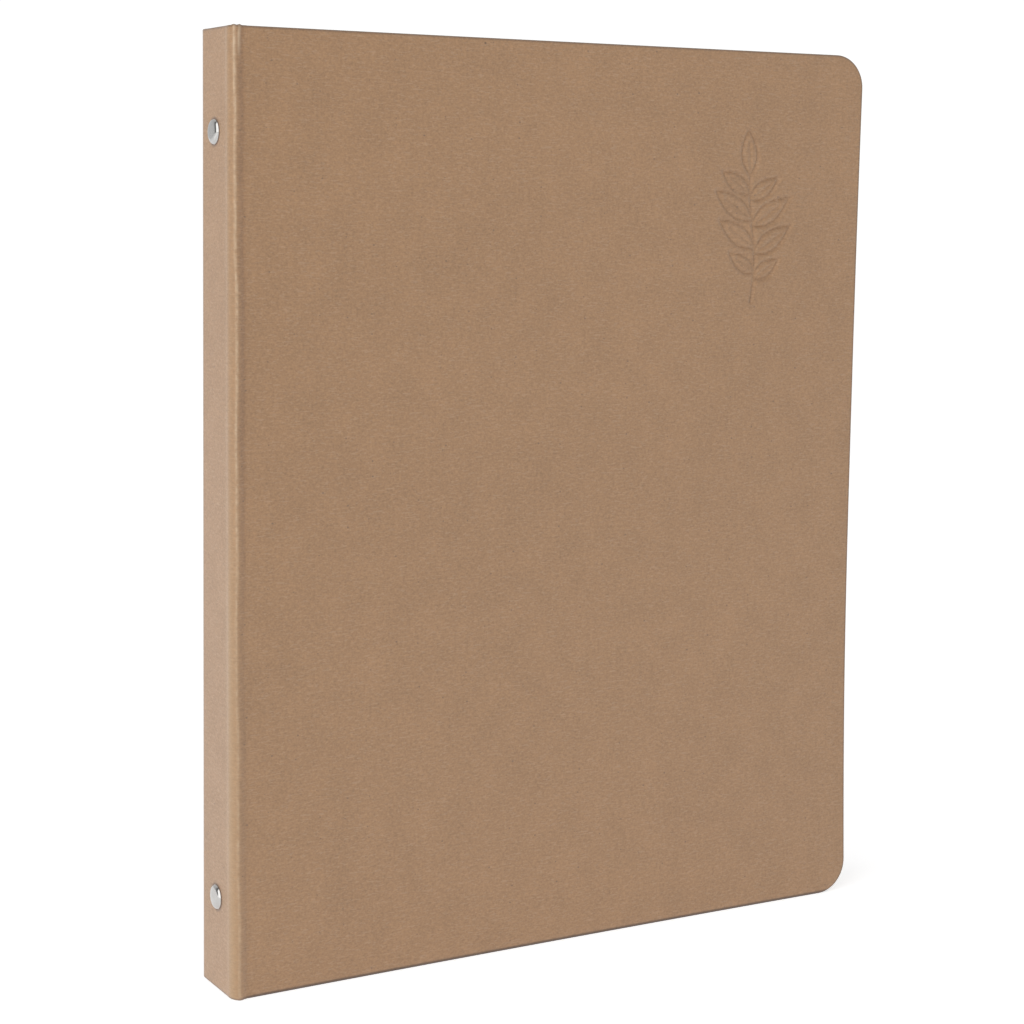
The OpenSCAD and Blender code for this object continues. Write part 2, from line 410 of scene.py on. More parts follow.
def sheet_layers(edge_round, steps=3):
    """(inset, depth) of each outline on the way from the outer face round the cut edge to the inner face."""
    turn = np.linspace(0, np.pi / 2, steps + 1)
    inset = edge_round * (1 - np.sin(turn))
    depth = edge_round * (1 - np.cos(turn))
    outer = np.stack([inset, depth], axis=-1)
    middle = np.array([[0, BOARD_T / 2]])
    inner = np.stack([inset, BOARD_T - depth], axis=-1)[::-1]
    return np.concatenate([outer, middle, inner])


def grid_border(rows, columns):
    """Indices of a grid's outline, once round from its first corner."""
    index = np.arange(rows * columns).reshape(rows, columns)
    return np.concatenate([index[0, :-1], index[:-1, -1], index[-1, :0:-1], index[:0:-1, 0]])


def build_wrap(name, side, lead, columns, rows, flare, hollow, square, sprig):
    """A folded board as one closed sheet: an outer and an inner grid joined by rounded cut edges.

    A grid column is at a length along the sheet, or at an angle t round an outer corner of radius R, where
    the length is (R - inset) sin t past the corner's centre and the sheet starts at R - (R - inset) cos t.
    """
    board = bpy.context.scene.album_board
    radius = board.corner_radius
    corner = np.linspace(0, np.pi / 2, 17)
    flat = np.concatenate([columns[:-1], np.full(len(corner), columns[-1])])
    turn = np.concatenate([np.zeros(len(columns) - 1), corner])
    shape = (len(rows), len(flat))
    flat, turn, share = (np.broadcast_to(v, shape).ravel() for v in (flat, turn, rows[:, None]))

    def outline(picked, inset):
        s = flat[picked] + (radius - inset) * np.sin(turn[picked])
        low = radius - (radius - inset) * np.cos(turn[picked])
        return s, low + share[picked] * (SHEET_H - 2 * low)

    def layer(picked, inset, depth):
        s, z = outline(picked, inset)
        across = from_spine(s, lead)
        relief = fold_relief(s, z, lead, square, board.ridge_height, board.valley_depth)
        if sprig:
            relief = relief - board.press_depth * pressed_sprig(across, z)
        reach = dish(across, z, flare, hollow) + relief * (1 - depth / BOARD_T) - depth
        placed = folded_points(s, z + frayed_head(s, z, lead), reach, side, lead)
        return pinch(placed, board.head_pinch, board.foot_spread), s, z

    everywhere = np.arange(len(flat))
    border = grid_border(*shape)
    layers = sheet_layers(board.edge_round)
    picks = [everywhere] + [border] * (len(layers) - 2) + [everywhere]
    made = [layer(picked, inset, depth) for picked, (inset, depth) in zip(picks, layers)]
    points = np.concatenate([m[0] for m in made])
    s_all = np.concatenate([m[1] for m in made])
    z_all = np.concatenate([m[2] for m in made])

    firsts = np.cumsum([0] + [len(p) for p in picks])
    index = np.arange(len(flat)).reshape(shape)
    outer = np.stack([index[:-1, :-1], index[:-1, 1:], index[1:, 1:], index[1:, :-1]], axis=-1).reshape(-1, 4)
    inner = outer[:, ::-1] + firsts[-2]
    rings = [border] + [firsts[k] + np.arange(len(border)) for k in range(1, len(layers) - 1)]
    rings = np.array(rings + [firsts[-2] + border])
    after = np.roll(rings, -1, axis=1)
    rim = np.stack([rings[:-1], rings[1:], after[1:], after[:-1]], axis=-1).reshape(-1, 4)
    faces = np.concatenate([outer, rim, inner])
    if side == BACK:
        faces = faces[:, ::-1]
    piece = make_piece(name, points, [faces])

    # The map lays the sheet flat by length and height, with the cut edge folded out and the inner face apart.
    flat_map = np.stack([SHEET_ORIGIN - side * s_all, z_all], axis=-1)
    travel = np.concatenate([[0], np.cumsum(np.hypot(*np.diff(layers, axis=0).T))])
    s_in, z_in = outline(border, board.edge_round)
    s_out, z_out = outline(border, 0.0)
    outward = np.stack([-side * (s_out - s_in), z_out - z_in], axis=-1) / board.edge_round
    ring_map = flat_map[border] + outward * travel[:, None, None]
    ring_after = np.roll(ring_map, -1, axis=1)
    rim_map = np.stack([ring_map[:-1], ring_map[1:], ring_after[1:], ring_after[:-1]], axis=2)
    inner_map = flat_map[inner] + np.array([0, SHEET_H + MAP_GAP])
    corner_map = np.concatenate([flat_map[outer], rim_map.reshape(-1, 4, 2), inner_map])
    if side == BACK:
        corner_map = corner_map[:, ::-1]
    uv_layer = piece.data.uv_layers.new(name=SHEET_MAP)
    uv_layer.data.foreach_set("uv", corner_map.astype(np.float32).ravel())

    depth_all = np.concatenate([np.full(len(p), depth) for p, (_, depth) in zip(picks, layers)])
    rounding = 0.4 * board.edge_round
    cut = ease(depth_all, 0, rounding) * ease(BOARD_T - depth_all, 0, rounding)
    outside = 1 - depth_all / BOARD_T
    place = s_all - lead - fold_line(z_all)
    upper = ease(z_all, *FOLD_SHIFT)
    # Rubbed fibres on the fold line, growing towards the head; their light colour is partly painted highlight
    # on the ridge.
    worn = (0.45 + 0.25 * upper + 0.3 * ease(z_all, *HEAD_RUB)) * bell(place, 0.34 * MM)
    split = ease(z_all, *HEAD_SPLIT) * bell(place - SPLIT_OFFSET, 0.35 * MM)
    masks = {
        "cut_edge": cut,
        "ply": depth_all / BOARD_T,
        # Painted shadow on the cut edge along the foot.
        "foot_shadow": cut * (1 - ease(z_all, 0.4 * MM, 2.0 * MM)),
        # Where the sprig is pressed; the material darkens these lines as painted shade in the recess.
        "pressed": outside * (pressed_sprig(from_spine(s_all, lead), z_all) if sprig else 0),
        "scuffed": outside * bell(s_all - 2.2 * MM, 2.0 * MM) * (side == BACK),
        "rub_and_highlight": outside * (worn + split),
        # Painted shade in the scored valley just past the fold line, stronger on the upper part.
        "valley_shade": outside * (0.35 + 0.65 * upper) * bell(place - 2.0 * MM, 1.2 * MM),
        "strained": outside * (1 - 0.6 * upper) * bell(place + 2.4 * MM, 2.4 * MM),
    }
    for mask, values in masks.items():
        add_values(piece, mask, values)
    return piece


# Node helpers ------------------------


def set_inputs(tree, node, inputs):
    """Gives inputs of a node plain values, or links from other nodes' outputs."""
    for key, value in inputs.items():
        if isinstance(value, bpy.types.NodeSocket):
            tree.links.new(value, node.inputs[key])
        else:
            node.inputs[key].default_value = value


def add_node(tree, kind, inputs=None, **settings):
    """A node with its settings and the values or links of its inputs."""
    node = tree.nodes.new(kind)
    for key, value in settings.items():
        setattr(node, key, value)
    set_inputs(tree, node, inputs or {})
    return node


def calculate(tree, operation, first, second=0.0, clamp=False):
    """The output of a Math node."""
    node = add_node(tree, "ShaderNodeMath", {0: first, 1: second}, operation=operation, use_clamp=clamp)
    return node.outputs[0]


def times(tree, first, second):
    """The product of two values."""
    return calculate(tree, "MULTIPLY", first, second)


def swing(tree, value, weight):
    """How far a value from 0 to 1 is off its middle, times a weight."""
    return times(tree, calculate(tree, "SUBTRACT", value, 0.5), weight)


def remap(tree, value, from_low, from_high, to_low=0.0, to_high=1.0):
    """The output of a Map Range node, clamped."""
    inputs = {"Value": value, "From Min": from_low, "From Max": from_high,
              "To Min": to_low, "To Max": to_high}
    return add_node(tree, "ShaderNodeMapRange", inputs).outputs["Result"]


def mix_colour(tree, factor, first, second, blend_type="MIX"):
    """The colour output of a Mix node. A plain colour has three numbers."""
    node = tree.nodes.new("ShaderNodeMix")
    node.data_type = "RGBA"
    node.blend_type = blend_type
    for name, value in (("Factor", factor), ("A", first), ("B", second)):
        socket = next(s for s in node.inputs if s.name == name and s.enabled)
        if isinstance(value, bpy.types.NodeSocket):
            tree.links.new(value, socket)
        else:
            socket.default_value = value if name == "Factor" else (*value, 1.0)
    return next(s for s in node.outputs if s.enabled)


def tint(tree, colour, other, mask, weight, blend_type="MIX"):
    """A colour taken to another, or multiplied by it, as far as a mask times a weight says."""
    return mix_colour(tree, times(tree, mask, weight), colour, other, blend_type)


def scaled(tree, vector, scale, turn=0.0):
    """A vector through a Mapping node that scales it and turns it about its third axis."""
    inputs = {"Vector": vector, "Scale": scale, "Rotation": (0.0, 0.0, turn)}
    return add_node(tree, "ShaderNodeMapping", inputs).outputs["Vector"]


def noise(tree, vector, scale, detail=2.0, roughness=0.5, distortion=0.0, dimensions="2D"):
    """The value of a Noise Texture."""
    inputs = {"Vector": vector, "Scale": scale, "Detail": detail, "Roughness": roughness,
              "Distortion": distortion}
    return add_node(tree, "ShaderNodeTexNoise", inputs, noise_dimensions=dimensions).outputs[0]


def bump(tree, height, strength, distance):
    """The normal of a Bump node."""
    inputs = {"Strength": strength, "Distance": distance, "Height": height}
    return add_node(tree, "ShaderNodeBump", inputs).outputs["Normal"]


def new_group(name, inputs, outputs):
    """A shader node group with its sockets, and its input and output nodes."""
    tree = bpy.data.node_groups.new(name, "ShaderNodeTree")
    for label, value in inputs.items():
        kind = "NodeSocketVector" if value is None else "NodeSocketFloat"
        socket = tree.interface.new_socket(name=label, in_out="INPUT", socket_type=kind)
        if value is not None:
            socket.default_value = value
    for label in outputs:
        tree.interface.new_socket(name=label, in_out="OUTPUT", socket_type="NodeSocketFloat")
    return tree, tree.nodes.new("NodeGroupInput"), tree.nodes.new("NodeGroupOutput")


def place_group(tree, group, inputs):
    """The outputs of a group placed as a node in another tree."""
    return add_node(tree, "ShaderNodeGroup", inputs, node_tree=group).outputs


def new_material(name, colour):
    """A node material, its tree and its Principled BSDF."""
    material = bpy.data.materials.new(name)
    material.use_nodes = True
    material.diffuse_color = (*colour, 1.0)
    tree = material.node_tree
    shader = next(n for n in tree.nodes if n.type == "BSDF_PRINCIPLED")
    return material, tree, shader


def dress(name, material):
    """Gives a CAD node that is shown its material."""
    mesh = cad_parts[name].data
    mesh.materials.clear()
    mesh.materials.append(material)


# Shared effects ------------------------


def kraft_pulp_group():
    """Pressed kraft pulp: a mottled tone, bleached fibres, bark specks and a felt-like height.

    The vector is in millimetres, with its first axis along the run of the fibres.
    """
    found = bpy.data.node_groups.get("kraft pulp")
    if found:
        return found
    tree, source, result = new_group("kraft pulp", {"Vector": None, "Mottle": 1.0, "Seed": 0.0},
                                     ("Tone", "Fibres", "Specks", "Height"))
    seed = source.outputs["Seed"]
    offset = add_node(tree, "ShaderNodeCombineXYZ", {"X": seed, "Y": seed}).outputs[0]
    moved = add_node(tree, "ShaderNodeVectorMath", {0: source.outputs["Vector"], 1: offset},
                     operation="ADD").outputs[0]
    streaks = noise(tree, scaled(tree, moved, (0.62, 1.0, 1.0)), 1.0, 2.0, 0.62)
    grain = noise(tree, scaled(tree, moved, (1.3, 1.5, 1.0)), 1.0, 1.0, 0.6)
    clouds = noise(tree, moved, 0.09, 2.0, 0.55)
    drift = noise(tree, moved, 0.016, 1.0, 0.5)
    tone = calculate(tree, "SUBTRACT", streaks, 0.5)
    for value, weight in ((grain, 0.9), (clouds, 0.42), (drift, 0.16)):
        tone = calculate(tree, "ADD", tone, swing(tree, value, weight))
    tone = times(tree, tone, source.outputs["Mottle"])

    fibre_masks = []
    for turn, stretch in ((0.15, 0.3), (-0.7, 0.34), (1.35, 0.38)):
        strand = noise(tree, scaled(tree, moved, (stretch, 1.9, 1.0), turn), 1.0, 1.0, 0.5, 0.6)
        fibre_masks.append(remap(tree, strand, 0.665, 0.74))
    fibres = calculate(tree, "MAXIMUM", calculate(tree, "MAXIMUM", *fibre_masks[:2]), fibre_masks[2])

    cells = add_node(tree, "ShaderNodeTexVoronoi",
                     {"Vector": scaled(tree, moved, (0.11, 0.14, 1.0)), "Scale": 1.0, "Randomness": 1.0},
                     voronoi_dimensions="2D")
    picked = add_node(tree, "ShaderNodeSeparateColor", {0: cells.outputs["Color"]})
    reach = remap(tree, picked.outputs[0], 0.35, 1.0, 0.0, 0.052)
    inside = calculate(tree, "SUBTRACT", reach, cells.outputs["Distance"])

    felt = noise(tree, scaled(tree, moved, (0.7, 1.6, 1.0)), 1.6, 3.0, 0.65)
    set_inputs(tree, result, {
        "Tone": calculate(tree, "ADD", tone, 0.5, clamp=True),
        "Fibres": fibres,
        "Specks": remap(tree, inside, 0.0, 0.02),
        "Height": calculate(tree, "ADD", felt, times(tree, fibres, 0.35)),
    })
    return tree


def rubbed_fibre_group():
    """Breaks a smooth mask into ragged patches like those that rubbing leaves on paper: the fold's wear and
    painted highlight, and the painted shade in the valley beside it.
    """
    found = bpy.data.node_groups.get("rubbed fibre")
    if found:
        return found
    tree, source, result = new_group("rubbed fibre", {"Vector": None, "Mask": 0.0, "Raggedness": 1.0},
                                     ("Mask",))
    patches = noise(tree, scaled(tree, source.outputs["Vector"], (0.8, 0.35, 1.0)), 1.0, 3.0, 0.65)
    ragged = calculate(tree, "ADD", times(tree, swing(tree, patches, 1.6), source.outputs["Raggedness"]), 1.0)
    uneven = calculate(tree, "MULTIPLY", source.outputs["Mask"], ragged, clamp=True)
    set_inputs(tree, result, {"Mask": uneven})
    return tree


def handled_metal_group():
    """Plated metal: fine drawn lines along its third axis, and smears that dull and darken it.

    The vector is in millimetres.
    """
    found = bpy.data.node_groups.get("handled metal")
    if found:
        return found
    inputs = {"Vector": None, "Gloss Roughness": 0.15, "Smear": 0.1, "Line Scale": 6.0}
    tree, source, result = new_group("handled metal", inputs, ("Roughness", "Tone", "Height"))
    stretched = scaled(tree, source.outputs["Vector"], (1.0, 1.0, 0.03))
    lines = noise(tree, stretched, source.outputs["Line Scale"], 2.0, 0.6, dimensions="3D")
    smears = noise(tree, source.outputs["Vector"], 0.35, 2.0, 0.55, 0.8, "3D")
    dulled = times(tree, remap(tree, smears, 0.35, 0.7), source.outputs["Smear"])
    rough = calculate(tree, "ADD", source.outputs["Gloss Roughness"], dulled)
    rough = calculate(tree, "ADD", rough, swing(tree, lines, 0.12))
    set_inputs(tree, result, {
        "Roughness": calculate(tree, "MAXIMUM", rough, 0.04),
        "Tone": remap(tree, smears, 0.3, 0.75, 1.0, 0.0),
        "Height": lines,
    })
    return tree


# Materials ------------------------


def shade(colour, share):
    """A colour made darker or lighter by a share."""
    return tuple(min(1.0, part * share) for part in colour)


def around(tree, place, centre, inner, outer):
    """A mask that is 1 within the inner distance of a point of the flat sheet and 0 past the outer."""
    inputs = {0: place, 1: (*centre, 0.0)}
    away = add_node(tree, "ShaderNodeVectorMath", inputs, operation="DISTANCE").outputs["Value"]
    return remap(tree, away, inner, outer, 1.0, 0.0)


def past_outline(tree, place, radius):
    """Distance past the outline of the flat cover, a rectangle with round corners; it is negative inside.

    With q = |p - middle| - half the size + radius, it is |max(q, 0)| + min(max(qx, qy), 0) - radius. The
    inner face is laid out one sheet higher, so the height is taken modulo that step.
    """
    reach = FOLD_LENGTH + COVER_W - FOLD_R
    low, high = SHEET_ORIGIN - reach, SHEET_ORIGIN + SPINE_W + reach
    axes = add_node(tree, "ShaderNodeSeparateXYZ", {0: place})
    raised = calculate(tree, "ADD", axes.outputs["Y"], MAP_GAP / 2)
    wrapped = calculate(tree, "FLOORED_MODULO", raised, SHEET_H + MAP_GAP)
    height = calculate(tree, "SUBTRACT", wrapped, MAP_GAP / 2)
    excess = []
    for value, start, end in ((axes.outputs["X"], low, high), (height, 0.0, SHEET_H)):
        away = calculate(tree, "ABSOLUTE", calculate(tree, "SUBTRACT", value, (start + end) / 2))
        excess.append(calculate(tree, "SUBTRACT", away, (end - start) / 2 - radius))
    squares = [calculate(tree, "POWER", calculate(tree, "MAXIMUM", part, 0.0), 2.0) for part in excess]
    outside = calculate(tree, "SQRT", calculate(tree, "ADD", *squares))
    inside = calculate(tree, "MINIMUM", calculate(tree, "MAXIMUM", *excess), 0.0)
    return calculate(tree, "SUBTRACT", calculate(tree, "ADD", outside, inside), radius)


def rivet_on_sheet(name, board):
    """Where the middle of a rivet comes on the flat sheet, and the radius of its head.

    The pinch moves the spine's middle line off the rivet by the amount for which the pinched sheet is at 0.
    """
    low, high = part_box(name)
    height = (low.z + high.z) / 2
    amount = (board.head_pinch + board.foot_spread) * height / SHEET_H - board.foot_spread
    off = amount / 2 / (1 + amount / (2 * COVER_LOW.y))
    return (SHEET_ORIGIN + SPINE_HALF - off, height), (high.z - low.z) / 2


def board_material():
    """Kraft board: mottled pulp, fibres and specks, rubbed folds with painted highlight on the ridge and
    painted shade in the valley beside it, painted shade and shadow along the edges, the foot and round the
    rivets, and a cut edge in plies.
    """
    found = bpy.data.materials.get("board finish")
    if found:
        return found
    board = bpy.context.scene.album_board
    base = tuple(board.board_colour)
    material, tree, shader = new_material("board finish", base)
    laid_flat = add_node(tree, "ShaderNodeUVMap", uv_map=SHEET_MAP).outputs["UV"]
    millimetres = scaled(tree, laid_flat, (1000.0, 1000.0, 1.0))
    pulp = place_group(tree, kraft_pulp_group(), {"Vector": millimetres})

    def painted(name):
        return add_node(tree, "ShaderNodeAttribute", attribute_name=name).outputs["Fac"]

    def ragged(name, raggedness):
        inputs = {"Vector": millimetres, "Mask": painted(name), "Raggedness": raggedness}
        return place_group(tree, rubbed_fibre_group(), inputs)["Mask"]

    # The pulp itself.
    colour = mix_colour(tree, pulp["Tone"], shade(base, 0.78), shade(base, 1.22))
    colour = tint(tree, colour, tuple(board.fibre_colour), pulp["Fibres"], 0.22)
    colour = tint(tree, colour, tuple(board.speck_colour), pulp["Specks"], 0.62)
    # The sprig and the folds: painted shade in the sprig's pressed lines and in the scored valley beside a
    # fold, and rubbed fibres made lighter as painted highlight along the fold's ridge.
    # Painted shade in the sprig's pressed lines.
    colour = tint(tree, colour, (0.80, 0.78, 0.75), painted("pressed"), 0.2, "MULTIPLY")
    colour = tint(tree, colour, tuple(board.strained_colour), painted("strained"), 0.45)
    # Painted shade: the scored valley beside the fold is darkened in ragged patches.
    colour = tint(tree, colour, (0.80, 0.74, 0.68), ragged("valley_shade", 0.8), 0.75, "MULTIPLY")
    rub_and_highlight = ragged("rub_and_highlight", 1.9)
    # Rubbed fibres along the fold's ridge, lightened further as painted highlight.
    colour = tint(tree, colour, tuple(board.worn_highlight_colour), rub_and_highlight, 0.7)
    # The cut edge, and just inside the outline a dark line that is painted shade on the rounded edges.
    across = add_node(tree, "ShaderNodeCombineXYZ", {"X": painted("ply"), "Y": 0.0}).outputs[0]
    plies = remap(tree, noise(tree, across, 7.0, 2.0, 0.7), 0.35, 0.65)
    edge = mix_colour(tree, plies, shade(board.edge_colour, 0.7), shade(board.edge_colour, 1.35))
    colour = tint(tree, colour, edge, painted("cut_edge"), 0.9)
    # Painted shadow: the cut edge darkened along the foot.
    colour = mix_colour(tree, painted("foot_shadow"), colour, (0.32, 0.27, 0.24), "MULTIPLY")
    # Painted shade: a dark line just inside the outline of the flat sheet.
    border = remap(tree, past_outline(tree, laid_flat, board.corner_radius), -0.95 * MM, -0.3 * MM)
    colour = tint(tree, colour, (0.48, 0.47, 0.49), border, 0.8, "MULTIPLY")
    colour = tint(tree, colour, tuple(board.scuffed_colour), painted("scuffed"), 0.8)
    # Painted shadow along the foot of the front cover, a ring of painted shadow round each rivet, and the
    # fleck.
    axes = add_node(tree, "ShaderNodeSeparateXYZ", {0: laid_flat})
    cover_start = SHEET_ORIGIN + SPINE_W + FOLD_LENGTH
    # Painted shadow: the lowest 1.3 mm of the front cover past the fold is darkened.
    low = remap(tree, axes.outputs["Y"], 0.7 * MM, 1.3 * MM, 1.0, 0.0)
    past_fold = remap(tree, axes.outputs["X"], cover_start - 2 * MM, cover_start + 2 * MM)
    colour = tint(tree, colour, (0.25, 0.19, 0.15), times(tree, low, past_fold), 0.8, "MULTIPLY")
    for name in RIVETS:
        centre, radius = rivet_on_sheet(name, board)
        # Painted shadow in a ring round each rivet head.
        rivet_shadow = around(tree, laid_flat, centre, radius + 0.3 * MM, radius + 1.0 * MM)
        colour = tint(tree, colour, (0.45, 0.38, 0.33), rivet_shadow, 0.9, "MULTIPLY")
    fleck_place = (SHEET_ORIGIN + sheet_length(FLECK[0], SPINE_W), FLECK[1])
    fleck = around(tree, laid_flat, fleck_place, 0.25 * MM, 0.55 * MM)
    colour = tint(tree, colour, shade(base, 0.25), fleck, 0.75)
    height = calculate(tree, "ADD", pulp["Height"], times(tree, rub_and_highlight, 0.8))
    set_inputs(tree, shader, {
        "Base Color": colour,
        "Roughness": remap(tree, pulp["Tone"], 0.2, 0.8, 0.52, 0.40),
        "Specular IOR Level": 0.8,
        "Sheen Weight": 0.24,
        "Sheen Roughness": 0.5,
        "Normal": bump(tree, height, 0.35, 0.00012),
    })
    return material


def leaf_material():
    """Thin kraft paper for the leaves, with two scored hinge lines beside the punched edge."""
    found = bpy.data.materials.get("leaf finish")
    if found:
        return found
    leaf = bpy.context.scene.album_leaf
    base = tuple(leaf.leaf_colour)
    material, tree, shader = new_material("leaf finish", base)
    place = add_node(tree, "ShaderNodeTexCoord").outputs["Object"]
    x, y, z = add_node(tree, "ShaderNodeSeparateXYZ", {0: place}).outputs
    laid = add_node(tree, "ShaderNodeCombineXYZ", {"X": x, "Y": z}).outputs[0]
    seed = calculate(tree, "SNAP", times(tree, y, 30000.0), 21.0)
    inputs = {"Vector": scaled(tree, laid, (1000.0, 1000.0, 1.0)), "Mottle": 0.8, "Seed": seed}
    pulp = place_group(tree, kraft_pulp_group(), inputs)
    colour = mix_colour(tree, pulp["Tone"], shade(base, 0.75), shade(base, 1.25))
    colour = tint(tree, colour, shade(base, 1.5), pulp["Fibres"], 0.35)
    colour = tint(tree, colour, shade(base, 0.4), pulp["Specks"], 0.5)
    bound_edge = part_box(LEAVES[0])[0].x
    height = pulp["Height"]
    for inset in (leaf.score_inset, leaf.score_inset + leaf.score_gap):
        away = calculate(tree, "ABSOLUTE", calculate(tree, "SUBTRACT", x, bound_edge + inset))
        groove = remap(tree, away, 0.0, 0.6 * MM, 1.0, 0.0)
        height = calculate(tree, "SUBTRACT", height, times(tree, groove, 2.5))
        colour = tint(tree, colour, shade(base, 0.6), groove, 0.35)
    set_inputs(tree, shader, {
        "Base Color": colour,
        "Roughness": remap(tree, pulp["Tone"], 0.2, 0.8, 0.9, 0.78),
        "Normal": bump(tree, height, 0.3, 0.0001),
    })
    return material


def metal_material(name, colour, roughness, smear, line_scale, bump_strength):
    """A plated metal finish from the shared handled-metal effect."""
    found = bpy.data.materials.get(name)
    if found:
        return found
    material, tree, shader = new_material(name, colour)
    place = add_node(tree, "ShaderNodeTexCoord").outputs["Object"]
    inputs = {"Vector": scaled(tree, place, (1000.0, 1000.0, 1000.0)), "Gloss Roughness": roughness,
              "Smear": smear, "Line Scale": line_scale}
    handled = place_group(tree, handled_metal_group(), inputs)
    set_inputs(tree, shader, {
        "Base Color": mix_colour(tree, handled["Tone"], shade(colour, 0.9), colour),
        "Roughness": handled["Roughness"],
        "Metallic": 1.0,
        "Normal": bump(tree, handled["Height"], bump_strength, 0.00002),
    })
    return material


# Operators ------------------------


class ALBUM_OT_front_wrap(bpy.types.Operator):
    """Folds the spine and the front cover from one board, with the pressed sprig"""

    bl_idname = "album.front_wrap"
    bl_label = "Front Wrap"

    def execute(self, context):
        board = context.scene.album_board
        fold_start = SPINE_W - BEFORE_FOLD
        fold_end = SPINE_W + FOLD_LENGTH + AFTER_FOLD
        sprig_start, sprig_end = (sheet_length(across, SPINE_W) for across in SPRIG_ACROSS)
        corner = sheet_length(COVER_W - board.corner_radius, SPINE_W)
        columns = stations((0.0, fold_start, 5), (fold_start, fold_end, 49), (fold_end, sprig_start, 38),
                           (sprig_start, sprig_end, 90), (sprig_end, corner, 4))
        low, high = SPRIG_UP
        rows = stations((0.0, low, 62), (low, high, 133), (high, HEAD_ROWS, 5), (HEAD_ROWS, SHEET_H, 14))
        piece = build_wrap("front_wrap", FRONT, SPINE_W, columns, rows / SHEET_H, board.front_flare,
                           board.front_hollow, board.front_square, True)
        piece.data.materials.append(board_material())
        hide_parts("spine_board", "front_crease", "front_cover_board")
        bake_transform(piece)
        return {"FINISHED"}


class ALBUM_OT_back_wrap(bpy.types.Operator):
    """Folds the back cover from the back edge of the spine"""

    bl_idname = "album.back_wrap"
    bl_label = "Back Wrap"

    def execute(self, context):
        board = context.scene.album_board
        fold_end = FOLD_LENGTH + AFTER_FOLD
        corner = sheet_length(COVER_W - board.corner_radius, 0.0)
        columns = stations((0.0, fold_end, 36), (fold_end, corner, 44))
        rows = stations((0.0, HEAD_ROWS, 76), (HEAD_ROWS, SHEET_H, 10))
        piece = build_wrap("back_wrap", BACK, 0.0, columns, rows / SHEET_H, board.back_flare,
                           board.back_hollow, board.back_square, False)
        piece.data.materials.append(board_material())
        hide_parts("back_crease", "back_cover_board")
        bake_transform(piece)
        return {"FINISHED"}


class ALBUM_OT_rivets(bpy.types.Operator):
    """Turns the two domed rivets that hold the ring mechanism to the spine"""

    bl_idname = "album.rivets"
    bl_label = "Rivets"

    def execute(self, context):
        metal = context.scene.album_metal
        nickel = metal_material("rivet finish", tuple(metal.nickel_colour), 0.1, 0.08, 5.0, 0.15)
        for name in RIVETS:
            low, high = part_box(name)
            radius = (high.z - low.z) / 2
            height = (low.z + high.z) / 2
            points, faces = lathe(self.profile(metal, radius, high.x - SPINE_X), metal.rivet_segments)
            points = np.stack([SPINE_X - points[:, 0], points[:, 1], height + points[:, 2]], axis=-1)
            piece = make_piece("domed_" + name, points, [f[:, ::-1] for f in faces])
            piece.data.materials.append(nickel)
            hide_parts(name)
            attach(piece, "spine")
        return {"FINISHED"}

    @staticmethod
    def profile(metal, radius, reach):
        """(height off the spine, radius) rows: the dome, its rolled rim, the shank and its end.

        The dome stands H (1 - (r / R)^5)^0.7 above the rolled rim, with R at the top of the roll.
        """
        roll = metal.head_roll
        post_low, post_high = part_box("upper_post")
        shank_radius = 0.29 * (post_high.z - post_low.z)
        across = np.linspace(0, 1, 25)
        crown = roll * 1.15 + (metal.head_height - roll * 1.15) * (1 - across ** 5.0) ** 0.7
        dome = np.stack([crown, across * (radius - 0.35 * roll)], axis=-1)
        turn = np.linspace(np.radians(35), np.pi, 9)
        bead = roll * 0.62
        rim = np.stack([roll * 0.5 + bead * np.cos(turn), radius - bead * (1 - np.sin(turn))], axis=-1)
        tail = np.array([[-0.05 * MM, shank_radius], [-reach, shank_radius], [-reach, 0.0]])
        return np.concatenate([dome, rim, tail])


class ALBUM_OT_leaves(bpy.types.Operator):
    """Gives the punched leaves their kraft paper"""

    bl_idname = "album.leaves"
    bl_label = "Leaves"

    def execute(self, context):
        for name in LEAVES:
            dress(name, leaf_material())
        return {"FINISHED"}


class ALBUM_OT_mechanism(bpy.types.Operator):
    """Gives the rings their nickel wire and the shield, rails and levers their plated steel"""

    bl_idname = "album.mechanism"
    bl_label = "Ring Mechanism"

    def execute(self, context):
        metal = context.scene.album_metal
        wire = metal_material("wire finish", tuple(metal.nickel_colour), 0.12, 0.1, 5.0, 0.2)
        steel = metal_material("steel finish", tuple(metal.steel_colour), 0.22, 0.16, 7.0, 0.5)
        for name in HALF_RINGS:
            dress(name, wire)
        for name in STEEL_PARTS:
            dress(name, steel)
        return {"FINISHED"}


